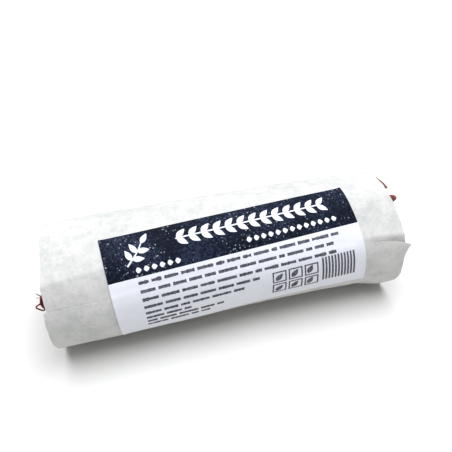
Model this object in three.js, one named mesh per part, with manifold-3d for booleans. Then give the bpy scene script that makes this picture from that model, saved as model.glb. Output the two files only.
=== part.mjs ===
// A dried sage bundle, bound with thread, rolled in a sheet of thin paper that a wrapped label holds shut.
// Millimetres, +X along the bundle from its cut stems to its leaf tips, +Z up, lying on the plane z = 0.
import * as THREE from 'three';
import { mergeVertices } from 'three/addons/utils/BufferGeometryUtils.js';
import Module from 'manifold-3d';

const wasm = await Module();
wasm.setup();

// The paper roll
const ROLL_RADIUS = 17.9;        // outside of the free edge
const PAPER_LENGTH = 100;        // along the roll, at the inner turn
const PAPER_THICK = 0.4;         // thicker than the real sheet, so that it is a sound solid
const TURN_GAP = 0.3;            // air between one turn and the next
const WRAP_DEG = 488;            // a sheet 148 mm long goes round 1.36 times
const SEAM_DEG = 65;             // free edge, from the top towards the front
const SEAM_SKEW_DEG = -3;        // how far the free edge turns from the middle to the right end
const FLAT_DEPTH = 0.8;          // the roll sags this much where it lies
const CREASE_HEIGHT = 0.45;      // the sheet is kinked along the free edge
const CREASE_HALF_DEG = 16;
const FLAP_REACH = 0.9;          // the outer turn stands past the inner one at both ends
const CORNER = { reach: 1.0, lift: 0.6, turnedDeg: 25, from: 42, to: 52 };  // the loose corner curls away
const EDGE_WAVE = 0.3;           // the cut ends aren't quite straight
const SHORT_EDGE = { depth: 1.6, turnedDeg: 305, halfDeg: 38 };  // the right end dips at the top of the roll
const PAPER_CELLS = { around: 61, along: 5 };

// The label
const LABEL = { width: 70.6, height: 32.2, topDeg: 8.8, skewDeg: -3.3, gap: 0.3, thick: 0.3 };
const LABEL_CELLS = { around: 14, along: 7 };

// The bundle
const BUNDLE_DROP = 0.2;         // it lies on the bottom of the loose roll
const CORE_RADIUS = 4.5;         // room for the middle sprig
const RING_INNER = 5.25;
const RING_OUTER = 14.0;
const RING_SPRIGS = 6;
const SPRIG_GAP = 0.25;          // half the air between two sprigs
const TWIST_DEG = 16;            // the bundle turns this much over half its length
const STEM_START = -50.5;
const STEM_STEP = -5;            // the woody part ends here and the thin tip goes on
const STEM_END = 34;
const STEM_BASE_RADIUS = 1.5;
const STEM_TIP_RADIUS = 0.6;
const LEAF_THICK = 0.6;
const LEAF_WIDTH = 10.5;
const LEAF_ROWS = 5;
const LEAF_COLUMNS = 3;
// Leaf pairs by where they leave the stem, which way they lie, their length, and the share of the
// sprig's room that their tips reach out to
const LEAF_PAIRS = [
  { at: -23, way: -1, length: 26, reach: 0.88 },
  { at: -19, way: 1, length: 38, reach: 0.92 },
  { at: 3, way: 1, length: 46, reach: 0.92 },
  { at: 14, way: 1, length: 35.5, reach: 0.66 },
  { at: 26, way: 1, length: 23, reach: 0.38 },
];
const POKING_LEAF = { sprig: 6, pair: 2, extra: 3 };  // one tip stands out past the paper

// The thread
const THREAD_RADIUS = 0.35;
const THREAD_ROUND = 15.15;      // from the bundle's axis to the middle of the thread
const THREAD_ENDS = [-43, 42];
const THREAD_TURNS = 3.5;        // one way; it then comes back the other way
const THREAD_SIDES = 4;
const THREAD_STEPS_A_TURN = 14;
const KNOT_RADIUS = 1;
const KNOT_TURN = 0.16;          // the knot lies at the front, near the top

const rad = THREE.MathUtils.degToRad;
const lerp = THREE.MathUtils.lerp;
const smooth = THREE.MathUtils.smoothstep;

// A seeded draw, so that every build is the same.
function seeded(seed) {
  let state = seed;
  return () => {
    state = (state * 1664525 + 1013904223) % 4294967296;
    return state / 4294967296;
  };
}

// A point on a ring round the roll's axis: angle from the top, positive towards the front (-Y).
function ringPoint(x, angle, radius) {
  return new THREE.Vector3(x, -radius * Math.sin(angle), radius * Math.cos(angle));
}

// A closed slab between two grids of points, columns x rows, given by outer(i, j) and inner(i, j).
function slab(columns, rows, outer, inner) {
  const points = [];
  for (const side of [outer, inner]) {
    for (let j = 0; j <= rows; j++) {
      for (let i = 0; i <= columns; i++) points.push(side(i, j));
    }
  }
  const layer = (columns + 1) * (rows + 1);
  const at = (k, i, j) => k * layer + j * (columns + 1) + i;
  const faces = [];
  const quad = (a, b, c, d) => faces.push(a, b, c, a, c, d);
  for (let j = 0; j < rows; j++) {
    for (let i = 0; i < columns; i++) {
      quad(at(0, i, j), at(0, i + 1, j), at(0, i + 1, j + 1), at(0, i, j + 1));
      // the same diagonal on the other face
      faces.push(at(1, i, j), at(1, i + 1, j + 1), at(1, i + 1, j));
      faces.push(at(1, i, j), at(1, i, j + 1), at(1, i + 1, j + 1));
    }
  }
  for (let i = 0; i < columns; i++) {
    quad(at(1, i, 0), at(1, i + 1, 0), at(0, i + 1, 0), at(0, i, 0));
    quad(at(0, i, rows), at(0, i + 1, rows), at(1, i + 1, rows), at(1, i, rows));
  }
  for (let j = 0; j < rows; j++) {
    quad(at(0, 0, j), at(0, 0, j + 1), at(1, 0, j + 1), at(1, 0, j));
    quad(at(1, columns, j), at(1, columns, j + 1), at(0, columns, j + 1), at(0, columns, j));
  }
  const geometry = new THREE.BufferGeometry().setFromPoints(points);
  geometry.setIndex(faces);
  if (volumeOf(geometry) < 0) geometry.setIndex(faces.slice().reverse());
  return geometry;
}

function volumeOf(geometry) {
  const p = geometry.getAttribute('position');
  const corner = [new THREE.Vector3(), new THREE.Vector3(), new THREE.Vector3()];
  let sum = 0;
  for (let k = 0; k < geometry.index.count; k += 3) {
    corner.forEach((v, n) => v.fromBufferAttribute(p, geometry.index.getX(k + n)));
    sum += corner[0].dot(corner[1].clone().cross(corner[2]));
  }
  return sum / 6;
}

// A tube of a given radius at each share of a curve, ending flat.
function tube(curve, steps, sides, radius) {
  const outline = new THREE.Shape();
  for (let k = 0; k < sides; k++) {
    const turn = (2 * Math.PI * k) / sides;
    const move = k ? 'lineTo' : 'moveTo';
    outline[move](radius * Math.cos(turn), radius * Math.sin(turn));
  }
  return new THREE.ExtrudeGeometry(outline, { steps, bevelEnabled: false, extrudePath: curve });
}

function solid(geometry) {
  const bare = new THREE.BufferGeometry();
  bare.setAttribute('position', geometry.getAttribute('position'));
  if (geometry.index) bare.setIndex(geometry.index);
  const merged = mergeVertices(bare, 1e-4);
  return new wasm.Manifold(new wasm.Mesh({
    numProp: 3,
    vertProperties: new Float32Array(merged.getAttribute('position').array),
    triVerts: new Uint32Array(merged.index.array),
  }));
}

// One body from several: a hollow that joining seals is filled, and a loose scrap is dropped.
function join(geometries) {
  const whole = geometries.map(solid).reduce((sum, next) => sum.add(next));
  const shells = whole.decompose().sort((a, b) => b.volume() - a.volume());
  const mesh = shells[0].getMesh();
  const geometry = new THREE.BufferGeometry();
  geometry.setAttribute('position', new THREE.BufferAttribute(new Float32Array(mesh.vertProperties), 3));
  geometry.setIndex(new THREE.BufferAttribute(new Uint32Array(mesh.triVerts), 1));
  return geometry;
}

// Free edge of the paper at x, as an angle from the top.
function seamAngle(x) {
  return rad(SEAM_DEG + (SEAM_SKEW_DEG * x) / (PAPER_LENGTH / 2));
}

// Outside of the roll at x and an angle from the top, before the turns step inwards.
function rollRadius(x, angle) {
  const round = Math.atan2(Math.sin(angle), Math.cos(angle));
  const fromSeam = (round - seamAngle(x)) / rad(CREASE_HALF_DEG);
  return ROLL_RADIUS + CREASE_HEIGHT * smooth(x, -10, 45) * Math.exp(-fromSeam * fromSeam);
}

// How far the paper has stepped inwards, a number of turns past the free edge.
function turnInset(turns) {
  return (PAPER_THICK + TURN_GAP) * turns;
}

// Each turn is pressed flat where the roll lies.
function flattened(radius, angle, floor) {
  const down = -Math.cos(angle);
  return down > 0 ? Math.min(radius, floor / down) : radius;
}

// How far in the paper lies under the label, which drapes over the free edge.
function insetUnderLabel(x, angle) {
  const past = (angle - seamAngle(x)) / (2 * Math.PI);
  if (past >= 0) return turnInset(past);
  const drape = smooth(-past * 2 * Math.PI, 0, rad(10));
  return turnInset(1 + past) * drape;
}

function makeWrapper() {
  const { around, along } = PAPER_CELLS;
  // The outer turn is longer than the inner one, most of all at its loose corner.
  const nearCorner = (turned) => 1 - smooth(turned, 0, rad(CORNER.turnedDeg));
  const end = (sign, turned) => {
    const flap = FLAP_REACH * (1 - smooth(turned, rad(70), rad(300)));
    const wave = EDGE_WAVE * Math.sin(2.3 * turned + sign);
    const fromDip = (turned - rad(SHORT_EDGE.turnedDeg)) / rad(SHORT_EDGE.halfDeg);
    const dip = SHORT_EDGE.depth * Math.exp(-fromDip * fromDip);
    const right = sign > 0 ? CORNER.reach * nearCorner(turned) - dip : 0;
    return sign * (PAPER_LENGTH / 2 + flap + wave + right);
  };
  const point = (depth) => (i, j) => {
    const turned = (rad(WRAP_DEG) * i) / around;
    const turns = turned / (2 * Math.PI);
    const x = lerp(end(-1, turned), end(1, turned), j / along);
    const angle = seamAngle(x) + turned;
    const lift = CORNER.lift * smooth(x, CORNER.from, CORNER.to) * nearCorner(turned);
    const radius = rollRadius(x, angle) + lift - turnInset(turns) - depth;
    const floor = ROLL_RADIUS - FLAT_DEPTH - turnInset(Math.floor(turns)) - depth;
    return ringPoint(x, angle, flattened(radius, angle, floor));
  };
  return slab(around, along, point(0), point(PAPER_THICK));
}

function makeLabel() {
  const { around, along } = LABEL_CELLS;
  const skew = rad(LABEL.skewDeg);
  const point = (height) => (i, j) => {
    const u = LABEL.width * (j / along - 0.5);
    const v = LABEL.height * (i / around);
    const x = u * Math.cos(skew) - v * Math.sin(skew);
    const arc = u * Math.sin(skew) + v * Math.cos(skew);
    const angle = rad(LABEL.topDeg) + arc / ROLL_RADIUS;
    const surface = rollRadius(x, angle) - insetUnderLabel(x, angle);
    return ringPoint(x, angle, surface + LABEL.gap + height);
  };
  return slab(around, along, point(LABEL.thick), point(0));
}

// The room that one sprig has in the bundle. room(x, a, b) gives the place of (a, b), a point in a unit disc.
function coreRoom(x, a, b) {
  const twist = rad(TWIST_DEG) * (x / 50);
  const angle = Math.atan2(b, a) + twist;
  return ringPoint(x, angle, CORE_RADIUS * Math.hypot(a, b));
}

function ringRoom(number) {
  const middle = (RING_INNER + RING_OUTER) / 2;
  const half = (RING_OUTER - RING_INNER) / 2;
  return (x, a, b) => {
    // halfway from a disc to a square, so that the sprigs fill the bundle
    const square = Math.min(1.25, Math.hypot(a, b) / Math.max(Math.abs(a), Math.abs(b), 1e-6));
    const stretch = lerp(1, square, 0.5 * Math.hypot(a, b));
    const radius = middle + half * THREE.MathUtils.clamp(a * stretch, -1, 1);
    const side = THREE.MathUtils.clamp(b * stretch, -1, 1) * (Math.PI / RING_SPRIGS - SPRIG_GAP / radius);
    const angle = (2 * Math.PI * number) / RING_SPRIGS + side + rad(TWIST_DEG) * (x / 50);
    return ringPoint(x, angle, radius);
  };
}

// One leaf pressed round its stem, from its stalk in the stem out to its blunt tip.
function leaf(room, size, pair, length, face, width) {
  const middle = (t, s) => {
    const out = lerp(0.1, pair.reach, Math.pow(t, 0.62));
    const swell = Math.pow(Math.sin(0.94 * Math.PI * Math.pow(t, 0.8)), 0.8);
    const scallop = Math.round(t * LEAF_ROWS) % 2 ? 1.09 : 0.91;
    const half = 0.5 + 0.5 * width * swell * scallop;
    const turn = Math.min(half / (Math.max(out, 0.25) * size), 1.5);
    const angle = face + s * turn;
    return room(pair.at + pair.way * length * t, out * Math.cos(angle), out * Math.sin(angle));
  };
  const step = 0.02;
  const point = (side) => (i, j) => {
    const t = j / LEAF_ROWS;
    const s = (2 * i) / LEAF_COLUMNS - 1;
    const a = middle(Math.max(t - step, 0), s);
    const b = middle(Math.min(t + step, 1), s);
    const c = middle(t, s - 0.1);
    const d = middle(t, s + 0.1);
    const normal = b.sub(a).cross(d.sub(c)).normalize();
    return middle(t, s).addScaledVector(normal, side * LEAF_THICK / 2);
  };
  return slab(LEAF_COLUMNS, LEAF_ROWS, point(1), point(-1));
}

class StemLine extends THREE.Curve {
  constructor(room, from, to) {
    super();
    Object.assign(this, { room, from, to });
  }

  getPoint(t, target = new THREE.Vector3()) {
    return target.copy(this.room(lerp(this.from, this.to, t), 0, 0));
  }
}

function makeSprig(number) {
  const draw = seeded(101 + 37 * number);
  const room = number ? ringRoom(number) : coreRoom;
  const size = number ? (RING_OUTER - RING_INNER) / 2 : CORE_RADIUS;
  const base = STEM_START + 1.2 * draw();
  const stem = [
    tube(new StemLine(room, base, STEM_STEP), 5, 6, STEM_BASE_RADIUS),
    tube(new StemLine(room, STEM_STEP - 1, STEM_END), 4, 5, STEM_TIP_RADIUS),
  ];
  const turn = 2 * Math.PI * draw();
  const leaves = [];
  LEAF_PAIRS.forEach((pair, k) => {
    for (const half of [0, 1]) {
      const face = turn + (k * Math.PI) / 2 + half * Math.PI + 0.25 * (draw() - 0.5);
      const pokes = number === POKING_LEAF.sprig && k === POKING_LEAF.pair && Math.cos(face) > 0;
      const length = pair.length * lerp(0.94, 1.03, draw()) + (pokes ? POKING_LEAF.extra : 0);
      const width = LEAF_WIDTH * lerp(0.85, 1.05, draw());
      leaves.push(leaf(room, size, pair, length, face, width));
    }
  });
  return join([...stem, ...leaves]);
}

// A helix of thread round the bundle, from one x to another.
class Winding extends THREE.Curve {
  constructor(from, to, startTurn, turns) {
    super();
    Object.assign(this, { from, to, startTurn, turns });
  }

  getPoint(t, target = new THREE.Vector3()) {
    const angle = 2 * Math.PI * (this.startTurn + this.turns * t);
    return target.copy(ringPoint(lerp(this.from, this.to, t), angle, THREAD_ROUND));
  }
}

function makeThread() {
  const [left, right] = THREAD_ENDS;
  const wind = (from, to, start, turns) => {
    const steps = Math.ceil(turns * THREAD_STEPS_A_TURN);
    return tube(new Winding(from, to, start, turns), steps, THREAD_SIDES, THREAD_RADIUS);
  };
  const out = wind(left, right, KNOT_TURN, THREAD_TURNS);
  const hoop = wind(right - 0.3, right + 0.3, KNOT_TURN + THREAD_TURNS - 0.02, 0.98);
  const back = wind(right, left, KNOT_TURN + THREAD_TURNS, THREAD_TURNS);
  const tie = wind(left - 0.3, left + 0.3, KNOT_TURN - 0.01, 0.98);
  // From the knot one end runs out past the stems, doubles back in a loop and stops.
  const near = (x, turn, raise) => ringPoint(x, 2 * Math.PI * (KNOT_TURN + turn), THREAD_ROUND + raise);
  const loop = new THREE.CatmullRomCurve3([
    near(left, 0, 0), near(-48, 0.005, 0.2), near(-51.6, -0.01, 0), near(-52.4, 0.01, -0.1),
    near(-53, 0.022, -0.2), near(-51.8, 0.03, 0), near(-50.6, 0.022, 0.1), near(-50.3, -0.005, 0.2),
    near(-51.2, -0.03, 0), near(-52.4, -0.04, -0.2),
  ]);
  const loose = tube(loop, 2 * loop.points.length, THREAD_SIDES, THREAD_RADIUS);
  const knot = new THREE.SphereGeometry(KNOT_RADIUS, 7, 5);
  knot.translate(...near(left, 0, 0).toArray());
  return join([out, hoop, back, tie, loose, knot]);
}

function finish(colour, roughness) {
  return new THREE.MeshStandardMaterial({ color: colour, roughness, metalness: 0 });
}

const paper = finish('#e9eae6', 0.85);
const labelStock = finish('#e4e4ec', 0.5);
const sage = finish('#7a3a38', 0.9);
const cotton = finish('#6e1f28', 0.9);

// The roll's axis is the origin here; bundle pieces hang a little below it.
const roll = new THREE.Group();
const bundle = new THREE.Group();
bundle.position.z = -BUNDLE_DROP;
roll.add(bundle);

function place(parent, name, geometry, material) {
  const mesh = new THREE.Mesh(geometry, material);
  mesh.name = name;
  parent.add(mesh);
}

place(roll, 'paper_wrapper', makeWrapper(), paper);
place(roll, 'paper_label', makeLabel(), labelStock);
for (let number = 0; number <= RING_SPRIGS; number++) {
  place(bundle, `sage_sprig_${number + 1}`, makeSprig(number), sage);
}
place(bundle, 'binding_thread', makeThread(), cotton);

// The origin is the middle of the underside of the whole object's box.
const box = new THREE.Box3().setFromObject(roll, true);
const centre = box.getCenter(new THREE.Vector3());
roll.position.set(-centre.x, -centre.y, -box.min.z);

const herbBundle = new THREE.Group();
herbBundle.name = 'herb_bundle';
herbBundle.add(roll);

export default herbBundle;
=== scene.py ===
import math

import bpy
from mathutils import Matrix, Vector, noise


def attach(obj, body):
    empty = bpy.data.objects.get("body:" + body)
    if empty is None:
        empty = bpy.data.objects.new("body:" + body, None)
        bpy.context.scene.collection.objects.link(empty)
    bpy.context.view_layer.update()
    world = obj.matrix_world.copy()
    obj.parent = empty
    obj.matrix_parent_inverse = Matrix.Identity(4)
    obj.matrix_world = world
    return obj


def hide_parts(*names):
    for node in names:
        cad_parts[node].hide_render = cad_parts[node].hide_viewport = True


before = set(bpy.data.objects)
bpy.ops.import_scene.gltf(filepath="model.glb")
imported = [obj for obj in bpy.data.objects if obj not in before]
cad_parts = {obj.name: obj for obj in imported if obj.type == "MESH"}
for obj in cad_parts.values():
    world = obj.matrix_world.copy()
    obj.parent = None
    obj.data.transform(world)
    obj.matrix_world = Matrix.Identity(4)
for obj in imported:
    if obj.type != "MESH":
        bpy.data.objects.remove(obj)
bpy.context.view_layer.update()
scene = bpy.context.scene

MM = 0.001
TAU = 2 * math.pi
rad = math.radians

# The paper roll, in millimetres and degrees: the form of the solid, in a finer sheet
AXIS = Vector((0.57, 0.48, 17.10))   # middle of the roll
ROLL_RADIUS = 17.9
PAPER_THICK = 0.16
TURN_STEP = 0.38                     # each turn lies this much inside the last
WRAP = rad(488)
SEAM = rad(65)                       # free edge, from the top towards the front
SEAM_SKEW = rad(-3)
SEAM_BEND = rad(7.8)                 # the free edge drops away at its right corner
CORNER_START = 40                    # that corner is loose from here on to its tip
CORNER_TIP = 51.6
CORNER_LIFT = 0.9                    # and stands off the turn below by this much
FLAT_DEPTH = 0.8                     # the underside is pressed flat by this much
FLAT_BEND = 0.5                      # and turns into the sides within this much
# Where the sheet's two ends lie: degrees past the free edge, and millimetres from the middle
LEFT_RIM = [(0, 51.2), (10, 51.4), (33, 51.4), (60, 50.9), (110, 50.5), (250, 50.4), (284, 50.5),
            (300, 50.0), (318, 50.0), (342, 50.7), (370, 50.6), (488, 50.2)]
RIGHT_RIM = [(0, 51.4), (5, 50.6), (14, 50.3), (24, 50.6), (45, 51.4), (90, 50.8), (180, 50.4), (250, 49.8),
             (280, 49.1), (305, 48.9), (322, 49.1), (345, 49.7), (365, 50.4), (488, 50.0)]

# The label
LABEL_WIDTH = 70.6
LABEL_HEIGHT = 32.2
LABEL_TOP = rad(8.8)                 # its upper edge, from the top towards the front
LABEL_SKEW = rad(-3.3)
LABEL_THICK = 0.12
LABEL_GAP = 0.05
BAND_HEIGHT = 12.3                   # the dark band along its upper edge

# The bundle
BUNDLE_DROP = 0.2                    # it sinks this much in the loose roll
CORE_RADIUS = 4.5                    # the room of the middle sprig
RING_INNER = 5.25                    # and of those round it
RING_OUTER = 14.0
RING_SPRIGS = 6
SPRIG_GAP = 0.25
TWIST = rad(16)                      # of the whole bundle, over 50 mm
STEM_START = -50.5
STEM_END = 34
STEM_FOOT = 1.5                      # its radius at the cut end
STEM_TIP = 0.5
SHOOTS = 4                           # thinner stems beside each main one
LEAF_THICK = 0.35
LEAF_WIDTH = 10.5
END_FLARE = 0.18                     # past the hoops of thread the ends spread by this share
# Leaf pairs: where they leave the stem, which way they lie, their length, how far out the tips reach
LEAF_PAIRS = [(-23, -1, 26, 0.88), (-19, 1, 38, 0.92), (3, 1, 46, 0.92), (14, 1, 35.5, 0.66),
              (26, 1, 23, 0.38)]
# Small leaves drawn between them: nearest and furthest base, which way, shortest and longest, how many
SMALL_LEAVES = [(18, 37, 1, 11, 15, 12), (-22, 14, 1, 16, 24, 8), (-38, -30, -1, 10, 15, 7)]
# Loose leaves in the gaps between the sprigs, the same way
LOOSE_LEAVES = [(26, 36, 1, 9, 14, 20), (-35, -26, -1, 10, 14.5, 13)]
LOOSE_ROOM = 4.4                     # half the room that one of them has across
LOOSE_OUTER = 14.3                   # and how far out it may reach

# The thread
THREAD_RADIUS = 0.27
THREAD_ROUND = 15.05                 # from the middle of the bundle
THREAD_ENDS = (-43, 42)
THREAD_TURNS = 3.5
THREAD_CROSSING = 0.1                # the way back lies this much further out, and the way there further in
KNOT_TURN = 0.16                     # where the knot lies, in turns from the top
KNOT_SIZE = 0.42

# The camera, placed from the middle of the roll
CAMERA_TARGET = Vector((3.94, 11.71, 0))
CAMERA_DISTANCE = 158.4
CAMERA_YAW = rad(-15.5)
CAMERA_HEIGHT = rad(40.2)
CAMERA_LENS = 38.95

# The studio, in metres and watts
FLOOR_HALF = 6.0
ROOM_LIGHT = 0.38
LIGHT_PLACE = (0.04, 0.07, 1.2)
LIGHT_SIZE = 1.3
LIGHT_POWER = 26.5


def lerp(a, b, t):
    return a + (b - a) * t


def clamp(value, low, high):
    return min(max(value, low), high)


def smooth(value, low, high):
    """0 below low, 1 above high, and an even slope between them."""
    t = clamp((value - low) / (high - low), 0, 1)
    return t * t * (3 - 2 * t)


def bump(value, middle, half):
    """A rounded hump of height 1."""
    return math.exp(-(((value - middle) / half) ** 2))


def eased(points, value):
    """A height read from (place, height) points, with a smooth step from each to the next."""
    for (a, low), (b, high) in zip(points, points[1:]):
        if value <= b:
            return lerp(low, high, smooth(value, a, b))
    return points[-1][1]


def seeded(seed):
    """The same draws between 0 and 1 as the solid's leaves were placed with."""
    state = seed
    while True:
        state = (state * 1664525 + 1013904223) % 4294967296
        yield state / 4294967296


def ring_point(x, angle, radius):
    """A point round the roll's axis: angle from the top, positive towards the front."""
    return AXIS + Vector((x, -radius * math.sin(angle), radius * math.cos(angle)))


# Meshes

class Shape:
    """Points and faces that grow as closed parts are added to them."""

    def __init__(self):
        self.points = []
        self.faces = []
        self.places = []     # where each point lies on its own leaf or sheet, for patterns
        self.finishes = []   # which material each face has

    def close(self, start, finish):
        """Gives the faces added since start their material, and points them outwards."""
        volume = 0
        for face in self.faces[start:]:
            a = self.points[face[0]]
            for b, c in zip(face[1:], face[2:]):
                volume += a.dot(self.points[b].cross(self.points[c]))
        if volume < 0:
            for k in range(start, len(self.faces)):
                self.faces[k] = self.faces[k][::-1]
        self.finishes += [finish] * (len(self.faces) - len(self.finishes))

    def slab(self, columns, rows, outer, inner, finish=0):
        """A closed slab between two grids of points. Its faces number outer ones first, row by row."""
        first = len(self.points)
        start = len(self.faces)
        layer = (columns + 1) * (rows + 1)
        for side in (outer, inner):
            for j in range(rows + 1):
                for i in range(columns + 1):
                    self.points.append(side(i, j))
                    self.places.append((i / columns, j / rows))

        def at(k, i, j):
            return first + k * layer + j * (columns + 1) + i

        for k in (0, 1):
            for j in range(rows):
                for i in range(columns):
                    face = [at(k, i, j), at(k, i + 1, j), at(k, i + 1, j + 1), at(k, i, j + 1)]
                    self.faces.append(face if k == 0 else face[::-1])
        for i in range(columns):
            self.faces.append([at(1, i, 0), at(1, i + 1, 0), at(0, i + 1, 0), at(0, i, 0)])
            self.faces.append([at(0, i, rows), at(0, i + 1, rows), at(1, i + 1, rows), at(1, i, rows)])
        for j in range(rows):
            self.faces.append([at(0, 0, j), at(0, 0, j + 1), at(1, 0, j + 1), at(1, 0, j)])
            self.faces.append(
                [at(1, columns, j), at(1, columns, j + 1), at(0, columns, j + 1), at(0, columns, j)])
        self.close(start, finish)

    def tube(self, route, sides, radius, up, finish=0, cut=None):
        """A closed tube along a route. radius(k, turn) shapes its section; up(k) is square to the route."""
        first = len(self.points)
        start = len(self.faces)
        last = len(route) - 1
        for k, place in enumerate(route):
            along = (route[min(k + 1, last)] - route[max(k - 1, 0)]).normalized()
            side = along.cross(up(k)).normalized()
            over = side.cross(along)
            for n in range(sides):
                turn = TAU * n / sides
                self.points.append(place + (side * math.cos(turn) + over * math.sin(turn)) * radius(k, turn))
                self.places.append((n / sides, k / last))
        for k in range(last):
            for n in range(sides):
                here = first + k * sides
                there = here + sides
                m = (n + 1) % sides
                self.faces.append([here + n, here + m, there + m, there + n])
        caps = len(self.faces)
        for k in (0, last):
            self.points.append(route[k])
            self.places.append((0.5, k / last))
            middle = len(self.points) - 1
            ring = first + k * sides
            for n in range(sides):
                edge = [ring + n, ring + (n + 1) % sides]
                self.faces.append([middle] + (edge[::-1] if k == 0 else edge))
        self.close(start, finish)
        if cut is not None:
            self.finishes[caps:] = [cut] * (len(self.faces) - caps)


def piece(name, shape, materials, slot, *nodes):
    """A smooth mesh, from points in millimetres, that rides on the part and stands for CAD nodes."""
    mesh = bpy.data.meshes.new(name)
    mesh.from_pydata([p * MM for p in shape.points], [], shape.faces)
    for material in materials:
        mesh.materials.append(material)
    mesh.polygons.foreach_set("material_index", shape.finishes)
    layer = mesh.uv_layers.new(name="own_place")
    for loop in mesh.loops:
        layer.data[loop.index].uv = shape.places[loop.vertex_index]
    mesh.shade_smooth()
    mesh.set_sharp_from_angle(angle=rad(50))
    made = bpy.data.objects.new(name, mesh)
    scene.collection.objects.link(made)
    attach(made, "root")
    if nodes:
        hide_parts(*nodes)
    return made


# Materials

def hex_colour(text):
    """An sRGB hex colour as linear red, green, blue and alpha."""
    parts = [int(text[k:k + 2], 16) / 255 for k in (1, 3, 5)]
    return [c / 12.92 if c <= 0.04045 else ((c + 0.055) / 1.055) ** 2.4 for c in parts] + [1]


def per_mm(size):
    """Texture scale for a pattern that repeats about every size millimetres."""
    return 1 / (size * MM)


def add(tree, kind, inputs=None, **settings):
    """Adds a node with its settings, and its inputs as values or as the sockets that feed them."""
    node = tree.nodes.new("ShaderNode" + kind)
    for name, value in settings.items():
        setattr(node, name, value)
    for name, value in (inputs or {}).items():
        if isinstance(value, bpy.types.NodeSocket):
            tree.links.new(value, node.inputs[name])
        else:
            node.inputs[name].default_value = value
    return node


def new_material(name, **uniform):
    """A material with its Principled shader, whose own sockets hold what is the same all over."""
    material = bpy.data.materials.new(name)
    material.use_nodes = True
    tree = material.node_tree
    shader = tree.nodes["Principled BSDF"]
    for socket, value in uniform.items():
        shader.inputs[socket.replace("_", " ")].default_value = value
    place = add(tree, "TexCoord").outputs["Object"]
    return material, tree, shader, place


def ramp(tree, value, *stops):
    """Colours at places along a value between 0 and 1."""
    node = add(tree, "ValToRGB", {"Fac": value})
    elements = node.color_ramp.elements
    while len(elements) < len(stops):
        elements.new(0.5)
    for element, (place, colour) in zip(elements, stops):
        element.position = place
        element.color = hex_colour(colour)
    return node.outputs["Color"]


def wrapping_paper():
    """Thin uncoated paper, machine made: matte and a little cloudy, with fibres and a few specks.

    What lies under it shows through as faint grey clouds 2 to 4 mm across."""
    material, tree, shader, place = new_material(
        "uncoated_wrapping_paper", Roughness=0.9, IOR=1.5, Specular_IOR_Level=0.08)
    clouds = add(tree, "TexNoise", {"Vector": place, "Scale": per_mm(3.0), "Detail": 2.0})
    # they gather where the leaves press against it, in places 12 mm apart
    pressed = add(tree, "TexNoise", {"Vector": place, "Scale": per_mm(12), "Detail": 1.0})
    depth = add(tree, "Math", {0: pressed.outputs["Fac"], 1: 0.7, 2: clouds.outputs["Fac"]},
                operation="MULTIPLY_ADD")
    under = ramp(tree, depth.outputs["Value"], (0.62, "#bdbfbd"), (0.80, "#c6c6c4"), (0.98, "#cccbc9"))
    # pulp flocks 0.4 mm across; drawn 0.9 mm apart
    flocks = add(tree, "TexNoise", {"Vector": place, "Scale": per_mm(0.9), "Detail": 4.0, "Roughness": 0.65})
    pulp = ramp(tree, flocks.outputs["Fac"], (0.30, "#efefef"), (0.52, "#fbfbfb"), (0.70, "#ffffff"))
    base = add(tree, "Mix", {"Factor": 1.0}, data_type="RGBA", blend_type="MULTIPLY")
    tree.links.new(under, base.inputs[6])
    tree.links.new(pulp, base.inputs[7])
    # specks of bark about 0.3 mm across, a few to the square centimetre
    specks = add(tree, "TexVoronoi", {"Vector": place, "Scale": per_mm(3.4)})
    far = add(tree, "MapRange", {"Value": specks.outputs["Distance"],
                                 "From Min": 0.04, "From Max": 0.075, "To Min": 0.0, "To Max": 1.0})
    rare = add(tree, "MapRange", {"Value": specks.outputs["Color"],
                                  "From Min": 0.86, "From Max": 0.90, "To Min": 1.0, "To Max": 0.0})
    clean = add(tree, "Math", {0: far.outputs["Result"], 1: rare.outputs["Result"]}, operation="MAXIMUM")
    speckled = add(tree, "Mix", {"Factor": clean.outputs["Value"]}, data_type="RGBA")
    speckled.inputs[6].default_value = hex_colour("#77736a")
    tree.links.new(base.outputs[2], speckled.inputs[7])
    tree.links.new(speckled.outputs[2], shader.inputs["Base Color"])
    # fibres are 0.02 mm wide; drawn 0.4 mm apart so that they show
    fibres = add(tree, "TexNoise", {"Vector": place, "Scale": per_mm(0.4), "Detail": 3.0, "Distortion": 0.6})
    cockle = add(tree, "Bump", {"Height": flocks.outputs["Fac"], "Strength": 0.3, "Distance": 0.2 * MM})
    tooth = add(tree, "Bump", {"Height": fibres.outputs["Fac"], "Strength": 0.2, "Distance": 0.06 * MM,
                               "Normal": cockle.outputs["Normal"]})
    tree.links.new(tooth.outputs["Normal"], shader.inputs["Normal"])
    return material


def label_stock():
    """Matte-coated label paper: smooth, and faintly blue from its whitener."""
    material, tree, shader, place = new_material(
        "matte_coated_label_paper", Roughness=0.6, IOR=1.5, Specular_IOR_Level=0.2)
    clouds = add(tree, "TexNoise", {"Vector": place, "Scale": per_mm(2.5), "Detail": 3.0})
    tree.links.new(ramp(tree, clouds.outputs["Fac"], (0.3, "#d9dae2"), (0.7, "#dedfe6")),
                   shader.inputs["Base Color"])
    # the coating follows the paper's own cloudiness, about 1 mm across
    coating = add(tree, "TexNoise", {"Vector": place, "Scale": per_mm(1.1), "Detail": 2.0})
    grain = add(tree, "Bump", {"Height": coating.outputs["Fac"], "Strength": 0.1, "Distance": 0.05 * MM})
    tree.links.new(grain.outputs["Normal"], shader.inputs["Normal"])
    return material


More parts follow.
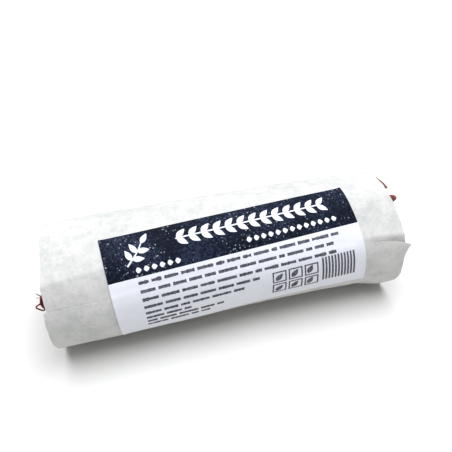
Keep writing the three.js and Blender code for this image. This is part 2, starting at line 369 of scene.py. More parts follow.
def band_ink():
    """Blue-black ink printed solid on the label: matte and patchy, with pinholes of bare paper."""
    material, tree, shader, place = new_material(
        "solid_blue_black_ink", Roughness=0.65, IOR=1.5, Specular_IOR_Level=0.06)
    patches = add(tree, "TexNoise", {"Vector": place, "Scale": per_mm(0.7), "Detail": 4.0, "Roughness": 0.8})
    # the ink lies thicker in some parts of the band than in others, 15 mm apart
    cover = add(tree, "TexNoise", {"Vector": place, "Scale": per_mm(15), "Detail": 1.0})
    thin = add(tree, "Math", {0: cover.outputs["Fac"], 1: 0.4, 2: patches.outputs["Fac"]},
               operation="MULTIPLY_ADD")
    ink = ramp(tree, thin.outputs["Value"], (0.54, "#070b16"), (0.71, "#0f1523"), (0.87, "#2e364c"))
    # pinholes 0.1 mm wide, drawn 0.3 mm wide in some cells of a grid 0.7 mm apart, thicker in some places
    holes = add(tree, "TexVoronoi", {"Vector": place, "Scale": per_mm(0.7)})
    crowd = add(tree, "TexNoise", {"Vector": place, "Scale": per_mm(7), "Detail": 1.0})
    near = add(tree, "MapRange", {"Value": holes.outputs["Distance"],
                                  "From Min": 0.10, "From Max": 0.30, "To Min": 0.75, "To Max": 0.0})
    chance = add(tree, "Math", {0: holes.outputs["Color"], 1: crowd.outputs["Fac"]}, operation="MULTIPLY")
    some = add(tree, "MapRange", {"Value": chance.outputs["Value"],
                                  "From Min": 0.24, "From Max": 0.44, "To Min": 0.0, "To Max": 1.0})
    hole = add(tree, "Math", {0: near.outputs["Result"], 1: some.outputs["Result"]}, operation="MULTIPLY")
    spotted = add(tree, "Mix", {"Factor": hole.outputs["Value"]}, data_type="RGBA")
    tree.links.new(ink, spotted.inputs[6])
    spotted.inputs[7].default_value = hex_colour("#c4c8d4")
    tree.links.new(spotted.outputs[2], shader.inputs["Base Color"])
    grain = add(tree, "Bump", {"Height": patches.outputs["Fac"], "Strength": 0.12, "Distance": 0.05 * MM})
    tree.links.new(grain.outputs["Normal"], shader.inputs["Normal"])
    return material


def fine_ink(name, dark, light):
    """Ink printed in fine lines, whose cover is uneven at 0.4 mm."""
    material, tree, shader, place = new_material(name, Roughness=0.65, IOR=1.5, Specular_IOR_Level=0.12)
    uneven = add(tree, "TexNoise", {"Vector": place, "Scale": per_mm(0.4), "Detail": 2.0})
    tree.links.new(ramp(tree, uneven.outputs["Fac"], (0.38, dark), (0.66, light)),
                   shader.inputs["Base Color"])
    return material


def sage_leaf():
    """Dried sage leaf dipped in a dark red resin: matte and downy, pebbled between its veins.

    Where the resin didn't reach, the grey-green down shows."""
    material, tree, shader, place = new_material(
        "dried_sage_leaf", Roughness=0.85, IOR=1.45, Specular_IOR_Level=0.3, Sheen_Weight=0.3,
        Sheen_Roughness=0.5, Sheen_Tint=hex_colour("#d8c8c0"))
    stain = add(tree, "TexNoise", {"Vector": place, "Scale": per_mm(4.5), "Detail": 5.0, "Roughness": 0.68})
    colour = ramp(tree, stain.outputs["Fac"], (0.30, "#47101a"), (0.44, "#7a2029"), (0.55, "#9a4743"),
                  (0.63, "#988272"), (0.72, "#9a9c88"))
    pebbles = add(tree, "TexVoronoi", {"Vector": place, "Scale": per_mm(0.7)})
    # painted shade: the colour darkens from each pebble's middle into the valleys between the pebbles, where
    # shade would fall
    painted_valley_shade = ramp(tree, pebbles.outputs["Distance"], (0.0, "#ffffff"), (0.7, "#a5989a"))
    base = add(tree, "Mix", {"Factor": 0.8}, data_type="RGBA", blend_type="MULTIPLY")
    tree.links.new(colour, base.inputs[6])
    tree.links.new(painted_valley_shade, base.inputs[7])
    tree.links.new(base.outputs[2], shader.inputs["Base Color"])
    # side veins about 2.5 mm apart on a leaf 40 mm long, slanting from the rib to the edge
    on_leaf = add(tree, "UVMap", uv_map="own_place").outputs["UV"]
    split = add(tree, "SeparateXYZ", {"Vector": on_leaf})
    across = add(tree, "Math", {0: split.outputs["X"], 1: 0.5}, operation="SUBTRACT")
    aside = add(tree, "Math", {0: across.outputs["Value"]}, operation="ABSOLUTE")
    slant = add(tree, "Math", {0: aside.outputs["Value"], 1: 0.35, 2: 0.0}, operation="MULTIPLY_ADD")
    height = add(tree, "Math", {0: split.outputs["Y"], 1: slant.outputs["Value"]}, operation="SUBTRACT")
    phase = add(tree, "Math", {0: height.outputs["Value"], 1: 14 * TAU}, operation="MULTIPLY")
    wave = add(tree, "Math", {0: phase.outputs["Value"]}, operation="SINE")
    vein = add(tree, "Bump", {"Height": wave.outputs["Value"], "Strength": 0.35, "Distance": 0.12 * MM})
    rough = add(tree, "Bump", {"Height": pebbles.outputs["Distance"], "Strength": 0.6, "Distance": 0.15 * MM,
                               "Normal": vein.outputs["Normal"]}, invert=True)
    tree.links.new(rough.outputs["Normal"], shader.inputs["Normal"])
    return material


def sage_bark():
    """Bark of a dried sage stem: grey-brown and stringy along the stem, darkened by the resin."""
    material, tree, shader, place = new_material(
        "dried_sage_bark", Roughness=0.8, IOR=1.45, Specular_IOR_Level=0.3)
    # strings 0.3 mm wide and some 4 mm long
    stretched = add(tree, "Mapping", {"Vector": place, "Scale": (0.08, 1.0, 1.0)})
    strings = add(tree, "TexNoise", {"Vector": stretched.outputs["Vector"], "Scale": per_mm(0.35),
                                     "Detail": 3.0})
    tree.links.new(ramp(tree, strings.outputs["Fac"], (0.3, "#3f2420"), (0.5, "#6b3f38"), (0.7, "#94766a")),
                   shader.inputs["Base Color"])
    ridges = add(tree, "Bump", {"Height": strings.outputs["Fac"], "Strength": 0.6, "Distance": 0.15 * MM})
    tree.links.new(ridges.outputs["Normal"], shader.inputs["Normal"])
    return material


def cut_wood():
    """The sawn end of a sage stem: pale wood with a soft brown pith, stained pink."""
    material, tree, shader, place = new_material(
        "cut_sage_wood", Roughness=0.9, IOR=1.45, Specular_IOR_Level=0.2)
    # pores 0.2 mm across, drawn 0.35 mm apart
    pores = add(tree, "TexVoronoi", {"Vector": place, "Scale": per_mm(0.35)})
    grain = ramp(tree, pores.outputs["Distance"], (0.1, "#6d4438"), (0.5, "#a3735c"), (0.9, "#b98f74"))
    tree.links.new(grain, shader.inputs["Base Color"])
    sawn = add(tree, "Bump", {"Height": pores.outputs["Distance"], "Strength": 0.5, "Distance": 0.1 * MM})
    tree.links.new(sawn.outputs["Normal"], shader.inputs["Normal"])
    return material


def cotton_thread():
    """Soft cotton thread of three plies, dyed dark red: matte, with a fuzz that catches the light."""
    material, tree, shader, place = new_material(
        "dyed_cotton_thread", Roughness=0.9, IOR=1.5, Specular_IOR_Level=0.2, Sheen_Weight=0.5,
        Sheen_Roughness=0.4, Sheen_Tint=hex_colour("#c06a70"))
    dye = add(tree, "TexNoise", {"Vector": place, "Scale": per_mm(2.5), "Detail": 3.0})
    tree.links.new(ramp(tree, dye.outputs["Fac"], (0.3, "#4f101a"), (0.55, "#741c28"), (0.75, "#94343e")),
                   shader.inputs["Base Color"])
    # fibres are 0.015 mm thick; drawn 0.15 mm apart
    fibres = add(tree, "TexNoise", {"Vector": place, "Scale": per_mm(0.15), "Detail": 2.0})
    fuzz = add(tree, "Bump", {"Height": fibres.outputs["Fac"], "Strength": 0.4, "Distance": 0.05 * MM})
    tree.links.new(fuzz.outputs["Normal"], shader.inputs["Normal"])
    return material


def backdrop_paper():
    """A seamless sheet of pale backdrop paper, faintly toothed, which the light turns white."""
    material, tree, shader, place = new_material("pale_backdrop_paper", Roughness=0.9, Specular_IOR_Level=0.1)
    tooth = add(tree, "TexNoise", {"Vector": place, "Scale": per_mm(30), "Detail": 2.0})
    tree.links.new(ramp(tree, tooth.outputs["Fac"], (0.3, "#d5d5d2"), (0.7, "#d8d7d5")),
                   shader.inputs["Base Color"])
    return material


# The paper

# Creases in the sheet: where each starts and ends as x and degrees from the top, height, half width
CREASES = [
    ((35, 58.0), (41.5, 57.4), 0.30, 1.6),
    ((41.5, 57.4), (53, 61.0), 0.56, 1.7),
    ((-51, 46.3), (-46, 43.6), 0.70, 3.2),
    ((-46, 43.6), (-42.7, 58.5), 0.30, 1.6),
    ((-46, 43.6), (-36, 40.6), 0.60, 3.2),
    ((-50, 26), (-47.2, 27.5), -0.34, 1.0),
    ((-51, 7.5), (-48, 10), -0.30, 1.0),
    ((-51, 95), (-44, 112), 0.24, 2.2),
    ((-40, 84), (-36, 96), 0.10, 1.6),
    ((42, 14), (52, 24), 0.14, 2.0),
    ((39, 84), (50, 96), 0.16, 2.6),
    ((-30, -20), (-12, -35), 0.12, 2.0),
    ((10, -50), (34, -38), -0.18, 1.8),
    ((-44, -12), (-38, 20), 0.12, 2.2),
    ((-20, -150), (6, -128), 0.22, 2.0),
    ((22, -100), (46, -84), 0.30, 1.6),
    ((14, -128), (22, -100), 0.20, 1.6),
    ((2, -64), (14, -88), -0.18, 1.6),
    ((-48, -92), (-26, -110), 0.24, 1.8),
    ((-26, -110), (-8, -96), 0.16, 1.6),
    ((46, -62), (52, -20), 0.20, 1.8),
    ((-52, -55), (-40, -66), -0.22, 1.6),
]


def crease_height(x, angle):
    """What handling left in the sheet, highest along each crease."""
    total = 0
    for (x0, deg0), (x1, deg1), height, half in CREASES:
        start = Vector((x0, rad(deg0) * ROLL_RADIUS))
        line = Vector((x1, rad(deg1) * ROLL_RADIUS)) - start
        away = Vector((x, angle * ROLL_RADIUS)) - start
        t = away.dot(line) / line.length_squared
        if -0.4 < t < 1.4:
            off = (away - line * clamp(t, 0, 1)).length
            total += height * math.exp(-off / half) * smooth(t, -0.4, 0.1) * (1 - smooth(t, 0.9, 1.4))
    return total


def under_label(x, angle):
    """1 where the label covers the sheet and holds it smooth, 0 elsewhere."""
    arc = (angle - LABEL_TOP) * ROLL_RADIUS
    u = x * math.cos(LABEL_SKEW) + arc * math.sin(LABEL_SKEW)
    v = arc * math.cos(LABEL_SKEW) - x * math.sin(LABEL_SKEW)
    beside = abs(u) - LABEL_WIDTH / 2
    above = max(-v, v - LABEL_HEIGHT)
    return 1 - smooth(max(beside, above), 0.5, 3.0)


def dents(x, angle):
    """Loose buckles of the thin sheet over the herbs, which the label evens out."""
    stiff = under_label(x, angle)
    y = ROLL_RADIUS * math.sin(angle)
    z = ROLL_RADIUS * math.cos(angle)
    # buckles 9 to 22 mm across, crumples of 6 mm and wrinkles of 2.6 mm
    broad = 0.2 * noise.noise(Vector((x / 22, y / 9, z / 9))) * (1 - 0.55 * stiff)
    crumple = 0.15 * (0.35 - abs(noise.noise(Vector((x, y, z)) / 6))) * (1 - 0.85 * stiff)
    fine = 0.05 * (0.3 - abs(noise.noise(Vector((x, y, z)) / 2.6))) * (1 - stiff)
    return broad + crumple + fine


def round_radius(x, angle):
    """Outside of the roll before the turns step inwards."""
    around = math.atan2(math.sin(angle), math.cos(angle))
    # a low ridge along the free edge, towards the right
    ridge = 0.42 * smooth(x, -10, 45) * bump(around, rad(67), rad(14))
    # the sheet is slack over the back and drawn in under the label; its ends close in over the top
    belly = 0.28 * bump(x, 2, 38) * bump(around, rad(-30), rad(45))
    waist = 1.0 * bump(x, 14, 28) * bump(around, rad(125), rad(42)) * (1 - smooth(x, 40, 47))
    top = bump(around, rad(-45), rad(65))
    close = (1.0 * smooth(x, 28, 52) ** 2 + 0.45 * smooth(-x, 34, 52)) * top
    return ROLL_RADIUS + ridge + belly - waist - close + crease_height(x, around) + dents(x, around)


def seam_angle(x):
    """Where the free edge lies, from the top towards the front."""
    bend = SEAM_BEND * (max(0, x - CORNER_START) / (CORNER_TIP - CORNER_START)) ** 2
    return SEAM + SEAM_SKEW * x / 50 + bend


def sheet_radius(x, turned):
    """Outer face of the sheet at an angle past its free edge."""
    angle = seam_angle(x) + turned
    lift = CORNER_LIFT * smooth(x, CORNER_START, CORNER_TIP) ** 1.5 * (1 - smooth(turned, 0, rad(22)))
    # away from its loose corner the free edge is drawn down onto the turn below
    tuck = 0.16 * (1 - smooth(turned, 0, rad(9))) * (1 - smooth(x, 36, 44))
    # past the label the loose outer turn stands off the roll, most of all low at the front
    flare = 1.2 * smooth(x, 38, 49) * bump(turned, rad(62), rad(40)) if turned < math.pi else 0
    radius = round_radius(x, angle) - TURN_STEP * turned / TAU + lift - tuck + flare
    down = -math.cos(angle)
    if down < 0.2:
        return radius
    # underneath it is pressed flat, with a soft bend on either side
    flat = (ROLL_RADIUS - FLAT_DEPTH - TURN_STEP * math.floor(turned / TAU)) / down
    share = clamp(0.5 + 0.5 * (flat - radius) / FLAT_BEND, 0, 1)
    return lerp(flat, radius, share) - FLAT_BEND * share * (1 - share)


def sheet_end(sign, turned):
    """Where the sheet ends, at its left or right end, at an angle past its free edge."""
    cut = eased(RIGHT_RIM if sign > 0 else LEFT_RIM, math.degrees(turned))
    torn = 0.24 * noise.noise(Vector((turned * 7, sign * 5, 0)))
    frayed = 0.10 * noise.noise(Vector((turned * 22, 0, sign)))
    return sign * (cut + torn + frayed)


def make_wrapper():
    """The paper: one sheet rolled a little over one and a third times round the bundle."""
    columns, rows = 300, 160

    def point(depth):
        def at(i, j):
            turned = WRAP * i / columns
            x = lerp(sheet_end(-1, turned), sheet_end(1, turned), j / rows)
            return ring_point(x, seam_angle(x) + turned, sheet_radius(x, turned) - depth)
        return at

    sheet = Shape()
    sheet.slab(columns, rows, point(0), point(PAPER_THICK))
    return piece("paper_wrapper_sheet", sheet, [paper], "paper", "paper_wrapper")


# The label and its print

def label_point(u, v, height):
    """A point over the label, u from its left edge and v from its top edge, in millimetres."""
    # the loose turn under the label's lower right corner draws it out to the right
    drawn = 0.068 * max(0, v - 8) * smooth(u, 35, LABEL_WIDTH)
    along = (u + drawn - LABEL_WIDTH / 2) * math.cos(LABEL_SKEW) - v * math.sin(LABEL_SKEW)
    arc = (u - LABEL_WIDTH / 2) * math.sin(LABEL_SKEW) + v * math.cos(LABEL_SKEW)
    angle = LABEL_TOP + arc / ROLL_RADIUS
    past = angle - seam_angle(along)
    below = sheet_radius(along, max(past, 0))
    above = sheet_radius(along, TAU + min(past, 0))
    radius = lerp(above, below, smooth(past, rad(-5), rad(0.6)))
    # the ends of the label stand off the paper a little
    curl = 0.16 * (smooth(abs(u - LABEL_WIDTH / 2), 33, 35.3) ** 2 + smooth(v, 29.5, LABEL_HEIGHT) ** 2)
    return ring_point(along, angle, radius + LABEL_GAP + curl + height)


def make_label():
    """The label: one sheet that covers the free edge, with a dark band printed along its upper edge."""
    across = 110
    band_rows, white_rows = 22, 34

    def point(height):
        def at(i, j):
            if j <= band_rows:
                v = BAND_HEIGHT * j / band_rows
            else:
                v = lerp(BAND_HEIGHT, LABEL_HEIGHT, (j - band_rows) / white_rows)
            return label_point(LABEL_WIDTH * i / across, v, height)
        return at

    sheet = Shape()
    sheet.slab(across, band_rows + white_rows, point(LABEL_THICK), point(0))
    sheet.finishes[:across * band_rows] = [1] * (across * band_rows)
    return piece("wrapped_label", sheet, [label_white, label_band], "label", "paper_label")


class Print(Shape):
    """Ink laid on the label in strips a hair thick."""

    TOP = LABEL_THICK + 0.03
    SUNK = LABEL_THICK - 0.03

    def strip(self, line, half):
        """A strip along a line of (u, v) places, half(t) wide on each side of it."""
        last = len(line) - 1

        def point(height):
            def at(i, j):
                before = Vector(line[max(j - 1, 0)])
                after = Vector(line[min(j + 1, last)])
                way = (after - before).normalized()
                place = Vector(line[j]) + Vector((-way.y, way.x)) * half(j / last) * (2 * i - 1)
                return label_point(place.x, place.y, height)
            return at

        self.slab(1, last, point(self.TOP), point(self.SUNK))

    def rule(self, start, end, half, ragged=0.0):
        """A straight rule from start to end, its edges uneven by ragged."""
        start, end = Vector(start), Vector(end)
        length = (end - start).length
        steps = max(1, math.ceil(length / (0.45 if ragged else 1.2)))
        line = [tuple(start.lerp(end, k / steps)) for k in range(steps + 1)]

        def width(t):
            return half + ragged * noise.noise(Vector((start.x + length * t, start.y, 0)) * 1.9)

        self.strip(line, width)

    def frame(self, u, v, width, height, half):
        """A plain outlined box."""
        for level in (v, v + height):
            self.rule((u - half, level), (u + width + half, level), half)
        for left in (u, u + width):
            self.rule((left, v + half), (left, v + height - half), half)

    def leaf(self, u, v, length, turn, widest):
        """A pointed leaf that starts at a place and lies at an angle."""
        steps = 7
        way = Vector((math.cos(turn), math.sin(turn)))
        line = [tuple(Vector((u, v)) + way * length * k / steps) for k in range(steps + 1)]
        self.strip(line, lambda t: 0.03 + widest * math.sin(math.pi * t ** 0.8))


def make_light_print():
    """In the dark band: a sprig, a garland of leaves and two rows of small lozenges, in bare white."""
    ink = Print()
    # a sprig of five leaves at the left
    ink.strip([(5.8, 9.0), (7.0, 7.8), (8.4, 6.5), (9.6, 5.0), (10.6, 3.4)], lambda t: 0.24 - 0.1 * t)
    for u, v, turn in ((7.2, 7.6, -112), (7.4, 7.4, 8), (8.9, 5.9, -118), (9.1, 5.6, 2), (10.5, 3.6, -52)):
        ink.leaf(u, v, 3.2, rad(turn), 0.74)
    # the garland
    pairs = 13
    left, right, middle = 19.6, 64.0, 4.5
    ink.rule((left, middle), (right - 2.6, middle), 0.2)
    for k in range(pairs):
        u = lerp(left, right - 3.4, k / (pairs - 1))
        for side in (-1, 1):
            ink.leaf(u + 0.3, middle + side * 0.1, 3.4, rad(38 * side), 0.78)
    # the lozenges
    for start, end, v in ((7.6, 19.6, 10.5), (38.2, 65.0, 9.6)):
        count = round((end - start) / 2.0)
        for k in range(count):
            ink.leaf(lerp(start, end - 1.5, k / (count - 1)), v, 1.5, 0, 0.72)
    return piece("label_print_light", ink, [light_ink], "label")


def make_dark_print():
    """In the white part: ragged rules, plain boxes with a leaf in each, and an even striped block."""
    ink = Print()
    draw = seeded(77)
    rows = [(13.9, 7.5, 64.0), (16.3, 7.5, 64.0), (18.7, 7.5, 64.0), (21.1, 7.5, 40.0)]
    rows += [(23.3, 7.5, 36.0), (25.2, 7.5, 21.0), (26.9, 7.5, 29.0), (28.6, 7.5, 25.0)]
    for v, start, end in rows:
        u = start
        while u < end - 1.5:
            length = min(lerp(1.6, 5.6, next(draw)), end - u)
            ink.rule((u, v), (u + length, v), 0.42, 0.2)
            u += length + 0.75
    for column in range(3):
        for row in range(2):
            u = 43.4 + 4.6 * column
            v = 20.7 + 4.5 * row
            ink.frame(u, v, 3.6, 3.5, 0.2)
            ink.leaf(u + 0.7, v + 2.9, 3.0, rad(-46 - 8 * column), 0.8)
    stripes = 11
    for k in range(stripes):
        u = lerp(57.8, 67.0, k / (stripes - 1))
        ink.rule((u, 19.6), (u, 28.0), 0.27)
    return piece("label_print_dark", ink, [dark_ink], "label")


# The sage

def bundle_point(x, angle, radius):
    """A point of the bundle, whose ends spread past the hoops of thread."""
    around = math.atan2(math.sin(angle), math.cos(angle))
    # the sheet leaves less room at the flat underside, and over the top where its ends close in
    pressed = 0.35 * bump(abs(around), math.pi, rad(50)) + 0.5 * bump(around, rad(-45), rad(60))
    spread = 1 + END_FLARE * smooth(abs(x), 43.5, 50) * (1 - pressed)
    return ring_point(x, angle, radius * spread) - Vector((0, 0, BUNDLE_DROP))


def core_room(x, a, b):
    """Where the middle sprig's own disc of room lies in the bundle."""
    return bundle_point(x, math.atan2(b, a) + TWIST * x / 50, CORE_RADIUS * math.hypot(a, b))


def ring_room(number):
    """The same for the sprigs round it: a disc stretched half way to a square."""
    middle = (RING_INNER + RING_OUTER) / 2
    half = (RING_OUTER - RING_INNER) / 2

    def room(x, a, b):
        square = min(1.25, math.hypot(a, b) / max(abs(a), abs(b), 1e-6))
        stretch = lerp(1, square, 0.5 * math.hypot(a, b))
        radius = middle + half * clamp(a * stretch, -1, 1.08)
        side = clamp(b * stretch, -1, 1) * (math.pi / RING_SPRIGS - SPRIG_GAP / radius)
        return bundle_point(x, TAU * number / RING_SPRIGS + side + TWIST * x / 50, radius)

    return room


def loose_room(angle, distance):
    """Room about a place in the bundle, bounded only by the outside of it."""

    def room(x, a, b):
        out = distance * math.cos(angle) + LOOSE_ROOM * a
        aside = distance * math.sin(angle) + LOOSE_ROOM * b
        return bundle_point(x, math.atan2(aside, out), min(math.hypot(out, aside), LOOSE_OUTER))

    return room


def add_leaf(shape, room, size, base, length, reach, face, width, wrap, seed):
    """One dried leaf, from its base to its tip.

    Length is negative where it points to the stem's foot. Wrap 1 bends it round the stem, 0 not at all."""
    columns, rows = 6, 14

    def middle(t, s):
        t = clamp(t, 0, 1)
        out = lerp(0.1, reach, t ** 0.62)
        swell = math.sin(0.985 * math.pi * t ** 0.8) ** 0.8
        tooth = 1 + 0.07 * (1 if round(t * rows) % 2 else -1) + 0.1 * noise.noise(Vector((t * 5, seed, 0)))
        half = 0.25 + 0.5 * width * swell * tooth
        turn = face + s * min(half / (max(out, 0.25) * size), 1.5)
        flat = s * half / size
        a = lerp(out * math.cos(face) - flat * math.sin(face), out * math.cos(turn), wrap)
        b = lerp(out * math.sin(face) + flat * math.cos(face), out * math.sin(turn), wrap)
        # it dried crumpled, and its edges curl up off the rib
        crumple = 0.16 * noise.noise(Vector((t * 3.4, s * 1.4, seed))) + 0.05 * s * s
        a += crumple * math.cos(face) * smooth(t, 0.1, 0.5)
        b += crumple * math.sin(face) * smooth(t, 0.1, 0.5)
        far = max(1, math.hypot(a, b) / 1.05)
        return room(base + length * t, a / far, b / far)

    def point(side):
        def at_grid(i, j):
            t = j / rows
            s = 2 * i / columns - 1
            lengthways = middle(t + 0.02, s) - middle(t - 0.02, s)
            across = middle(t, s + 0.1) - middle(t, s - 0.1)
            return middle(t, s) + lengthways.cross(across).normalized() * side * LEAF_THICK / 2
        return at_grid

    shape.slab(columns, rows, point(1), point(-1))


def add_stem(shape, room, start, end, offset, base_radius, tip_radius, seed):
    """A woody stem, ridged along its length and cut square. It closes in on the middle from an offset."""
    steps = 30
    route = []
    for k in range(steps + 1):
        t = k / steps
        aside = (1 - smooth(t, 0.3, 1)) if offset != (0, 0) else 0
        route.append(room(lerp(start, end, t), offset[0] * aside, offset[1] * aside))

    def radius(k, turn):
        ridges = 0.05 * math.sin(4 * turn + seed)
        bark = 0.1 * noise.noise(Vector((k * 0.8, turn, seed)))
        return lerp(base_radius, tip_radius, k / steps) * (1 + ridges + bark)

    shape.tube(route, 14, radius, lambda k: Vector((0, 0.3, 1)), finish=1, cut=2)


def add_bits_left(shape):
    """What stands out past the paper at the stem end: the edge of a leaf and three dry hairs."""
    out = Vector((0, -0.8, 0.6))
    edge = [ring_point(lerp(-50.7, -51.6, math.sin(math.pi * k / 10)), rad(lerp(52.5, 68.8, k / 10)), 15.2)
            for k in range(11)]

    def leaf_edge(k, turn):
        return 0.36 * (0.5 + 0.5 * math.sin(math.pi * (k + 1) / 12)) * (1 + 0.2 * math.sin(3 * turn + k))

    shape.tube(edge, 10, leaf_edge, lambda k: out)
    hairs = [((-51.2, 55.5), (-52.4, 51.2), 0.17), ((-51.2, 56.0), (-52.6, 55.6), 0.11),
             ((-50.9, 51.5), (-51.3, 48.2), 0.10)]
    for (x0, deg0), (x1, deg1), thick in hairs:
        route = [ring_point(lerp(x0, x1, k / 6), rad(lerp(deg0, deg1, k / 6)), 15.1) for k in range(7)]
        shape.tube(route, 6, lambda k, turn: thick * (1 - 0.09 * k), lambda k: out)


def add_bits_right(shape):
    """What stands out past the paper at the leaf end: a leaf's rolled edge and a stubby leaf tip."""
    edge = []
    for k in range(13):
        x = lerp(49.9, 50.4, smooth(k, 0, 12))
        edge.append(ring_point(x, rad(lerp(-12.5, 8.0, k / 12)), lerp(16.2, 15.9, k / 12)))

    def rolled(k, turn):
        return lerp(0.20, 0.40, k / 12) * (1 + 0.14 * math.sin(2 * turn + k)) * (1 - 0.5 * smooth(k, 11, 12))

    shape.tube(edge, 10, rolled, lambda k: Vector((1, 0, 0)))
    stub = [ring_point(lerp(44, 51.85, k / 12), rad(lerp(18.5, 21.0, k / 12)), 15.3) for k in range(13)]

    def blunt(k, turn):
        return 1.08 * (1 - 0.5 * smooth(k, 10, 12) ** 2) * (1 + 0.12 * math.sin(3 * turn + 0.4 * k))

    shape.tube(stub, 14, blunt, lambda k: Vector((0, 0, 1)))


def make_sprig(number):
    """A sprig in its own room in the bundle: a stem with side shoots, and its leaves."""
    draw = seeded(101 + 37 * number)
    room = ring_room(number) if number else core_room
    size = (RING_OUTER - RING_INNER) / 2 if number else CORE_RADIUS
    start = STEM_START + 1.2 * next(draw)
    shape = Shape()
    add_stem(shape, room, start, STEM_END, (0, 0), STEM_FOOT, STEM_TIP, number)
    turn = TAU * next(draw)
    for k, (base, way, length, reach) in enumerate(LEAF_PAIRS):
        for half in (0, 1):
            face = turn + k * math.pi / 2 + half * math.pi + 0.25 * (next(draw) - 0.5)
            span = way * length * lerp(0.86, 1.02, next(draw))
            width = LEAF_WIDTH * lerp(0.85, 1.05, next(draw))
            add_leaf(shape, room, size, base, span, reach, face, width, 0.75, 10 * number + k + 0.5 * half)
    # side shoots join the stem part of the way up
    for k in range(SHOOTS):
        aside = TAU * (k + next(draw)) / SHOOTS
        offset = (0.7 * math.cos(aside), 0.7 * math.sin(aside))
        foot = start + lerp(0, 6, next(draw))
        thick = lerp(0.35, 0.95, next(draw))
        add_stem(shape, room, foot, lerp(-26, -8, next(draw)), offset, thick, 0.5 * thick, number + 0.3 * k)
    # small leaves fill the sprig's room, more of them towards its ends
    for first, last, way, shortest, longest, count in SMALL_LEAVES:
        for k in range(count):
            face = turn + TAU * (k + 0.7 * next(draw)) / count * 1.62
            span = way * lerp(shortest, longest, next(draw))
            reach = lerp(0.4, 1.06, (k + next(draw)) / count)
            add_leaf(shape, room, size, lerp(first, last, next(draw)), span, reach, face,
                     lerp(3.5, 7.0, next(draw)), 0.5 * next(draw), 50 * number + k + 0.1 * first)
    for first, last, way, shortest, longest, count in LOOSE_LEAVES:
        for k in range(count):
            somewhere = loose_room(TAU * next(draw), LOOSE_OUTER * next(draw) ** 0.35)
            add_leaf(shape, somewhere, LOOSE_ROOM, lerp(first, last, next(draw)),
                     way * lerp(shortest, longest, next(draw)), lerp(0.1, 0.9, next(draw)), TAU * next(draw),
                     lerp(3.5, 8.0, next(draw)), 0.5 * next(draw), 90 * number + k + 0.1 * first)
    if number == 1:
        add_bits_left(shape)
    if number == 6:
        add_bits_right(shape)
    return piece(f"sage_sprig_{number + 1}_leaves", shape, [leaf, bark, wood], "sage",
                 f"sage_sprig_{number + 1}")


# The thread

def add_thread(shape, route, thick=THREAD_RADIUS):
    """Three plies twisted together, as one strand whose section turns along it."""
    step = 0.4
    even = [route[0]]
    for place in route[1:]:
        gap = place - even[-1]
        while gap.length >= step:
            even.append(even[-1] + gap.normalized() * step)
            gap = place - even[-1]
    pitch = 2.4

    def radius(k, turn):
        ply = abs(math.cos(1.5 * (turn - TAU * k * step / pitch)))
        return thick * (0.74 + 0.32 * ply)

    def outwards(k):
        away = even[k] - AXIS
        away.x = 0.01
        return away

    shape.tube(even, 12, radius, outwards)


def winding(start, end, first_turn, turns, radius):
    """A route round the bundle from start to end."""
    steps = math.ceil(abs(turns) * 90)
    return [bundle_point(lerp(start, end, k / steps), TAU * (first_turn + turns * k / steps), radius)
            for k in range(steps + 1)]


def curve_through(places, steps):
    """A smooth route through places."""
    route = []
    last = len(places) - 1
    for k in range(last):
        a, b, c, d = places[max(k - 1, 0)], places[k], places[k + 1], places[min(k + 2, last)]
        for n in range(steps):
            t = n / steps
            route.append(0.5 * (2 * b + (c - a) * t + (2 * a - 5 * b + 4 * c - d) * t * t +
                                (3 * b - a - 3 * c + d) * t ** 3))
    route.append(places[-1])
    return route


def make_thread():
    """The thread: along the bundle and back, a hoop at each end, and a knot with a loose end."""
    left, right = THREAD_ENDS
    top = KNOT_TURN + THREAD_TURNS
    shape = Shape()
    add_thread(shape, winding(left, right, KNOT_TURN, THREAD_TURNS, THREAD_ROUND - THREAD_CROSSING))
    add_thread(shape, winding(right - 0.4, right + 0.4, top, 1.0, THREAD_ROUND))
    add_thread(shape, winding(right, left, top, THREAD_TURNS, THREAD_ROUND + THREAD_CROSSING))
    add_thread(shape, winding(left - 0.4, left + 0.4, KNOT_TURN, 1.0, THREAD_ROUND))

    def near(x, degrees, radius=THREAD_ROUND):
        return ring_point(x, TAU * KNOT_TURN + rad(degrees), radius) - Vector((0, 0, BUNDLE_DROP))

    # an overhand knot, 2.4 mm across
    knot = []
    for k in range(60):
        t = TAU * k / 59
        x = left + KNOT_SIZE * (math.sin(t) + 2 * math.sin(2 * t))
        degrees = 1.6 * (math.cos(t) - 2 * math.cos(2 * t))
        knot.append(near(x, degrees, THREAD_ROUND + THREAD_CROSSING - KNOT_SIZE * math.sin(3 * t)))
    add_thread(shape, knot)
    # the loose end doubles back in a small pointed loop outside the paper
    places = [(left, 0), (-46, 1), (-49.4, 0), (-51.2, 2.6), (-52.1, 4.2), (-53.2, 6.2), (-52.8, 8.0),
              (-51.7, 10.9), (-51.2, 10.8), (-51.2, 7.0), (-51.2, 2.0), (-49.6, -1.5), (-47.5, -3.5)]
    loop = [near(x, degrees) for x, degrees in places]
    add_thread(shape, curve_through(loop, 8), 0.75 * THREAD_RADIUS)
    return piece("wound_thread", shape, [cotton], "thread", "binding_thread")


# The camera and the studio

def aim(made, way):
    """Turns a camera or light to look one way, and puts it in the scene."""
    made.rotation_mode = "QUATERNION"
    made.rotation_quaternion = way.to_track_quat("-Z", "Y")
    scene.collection.objects.link(made)


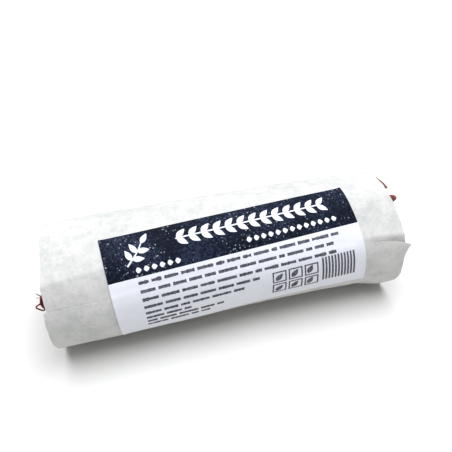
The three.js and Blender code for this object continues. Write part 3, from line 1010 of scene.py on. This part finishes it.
def make_camera():
    """The view of the photo: from the front, a little from the left, and well above."""
    back = Vector((math.sin(CAMERA_YAW) * math.cos(CAMERA_HEIGHT),
                   -math.cos(CAMERA_YAW) * math.cos(CAMERA_HEIGHT), math.sin(CAMERA_HEIGHT)))
    camera = bpy.data.objects.new("camera", bpy.data.cameras.new("camera"))
    camera.data.lens = CAMERA_LENS
    camera.data.sensor_width = 36
    camera.data.clip_start = 0.01
    camera.location = (AXIS + CAMERA_TARGET + back * CAMERA_DISTANCE) * MM
    aim(camera, -back)
    scene.camera = camera


def make_softbox(name, place, size, power, colour):
    """A round soft light, aimed at the part from a place in metres."""
    light = bpy.data.lights.new(name, "AREA")
    light.shape = "DISK"
    light.size = size
    light.energy = power
    light.color = hex_colour(colour)[:3]
    made = bpy.data.objects.new(name, light)
    made.location = place
    aim(made, -Vector(place))


def make_studio():
    """A pale floor under one wide light overhead, in a dim pale room."""
    half = FLOOR_HALF
    mesh = bpy.data.meshes.new("floor")
    corners = [(-half, -half, 0), (half, -half, 0), (half, half, 0), (-half, half, 0)]
    mesh.from_pydata(corners, [], [(0, 1, 2, 3)])
    mesh.materials.append(backdrop_paper())
    floor = bpy.data.objects.new("floor", mesh)
    floor.location.z = -0.0001
    scene.collection.objects.link(floor)
    world = bpy.data.worlds.new("pale_room")
    world.use_nodes = True
    background = world.node_tree.nodes["Background"]
    background.inputs["Color"].default_value = hex_colour("#fbfcff")
    background.inputs["Strength"].default_value = ROOM_LIGHT
    scene.world = world
    make_softbox("overhead", LIGHT_PLACE, LIGHT_SIZE, LIGHT_POWER, "#fbfdff")
    scene.view_settings.view_transform = "Standard"


make_camera()
make_studio()

paper = wrapping_paper()
label_white = label_stock()
label_band = band_ink()
light_ink = fine_ink("white_print", "#d5d8e2", "#e8e9f0")
dark_ink = fine_ink("black_print", "#3a3b47", "#6d6e78")
leaf = sage_leaf()
bark = sage_bark()
wood = cut_wood()
cotton = cotton_thread()

make_wrapper()
make_label()
make_light_print()
make_dark_print()
for sprig in range(RING_SPRIGS + 1):
    make_sprig(sprig)
make_thread()
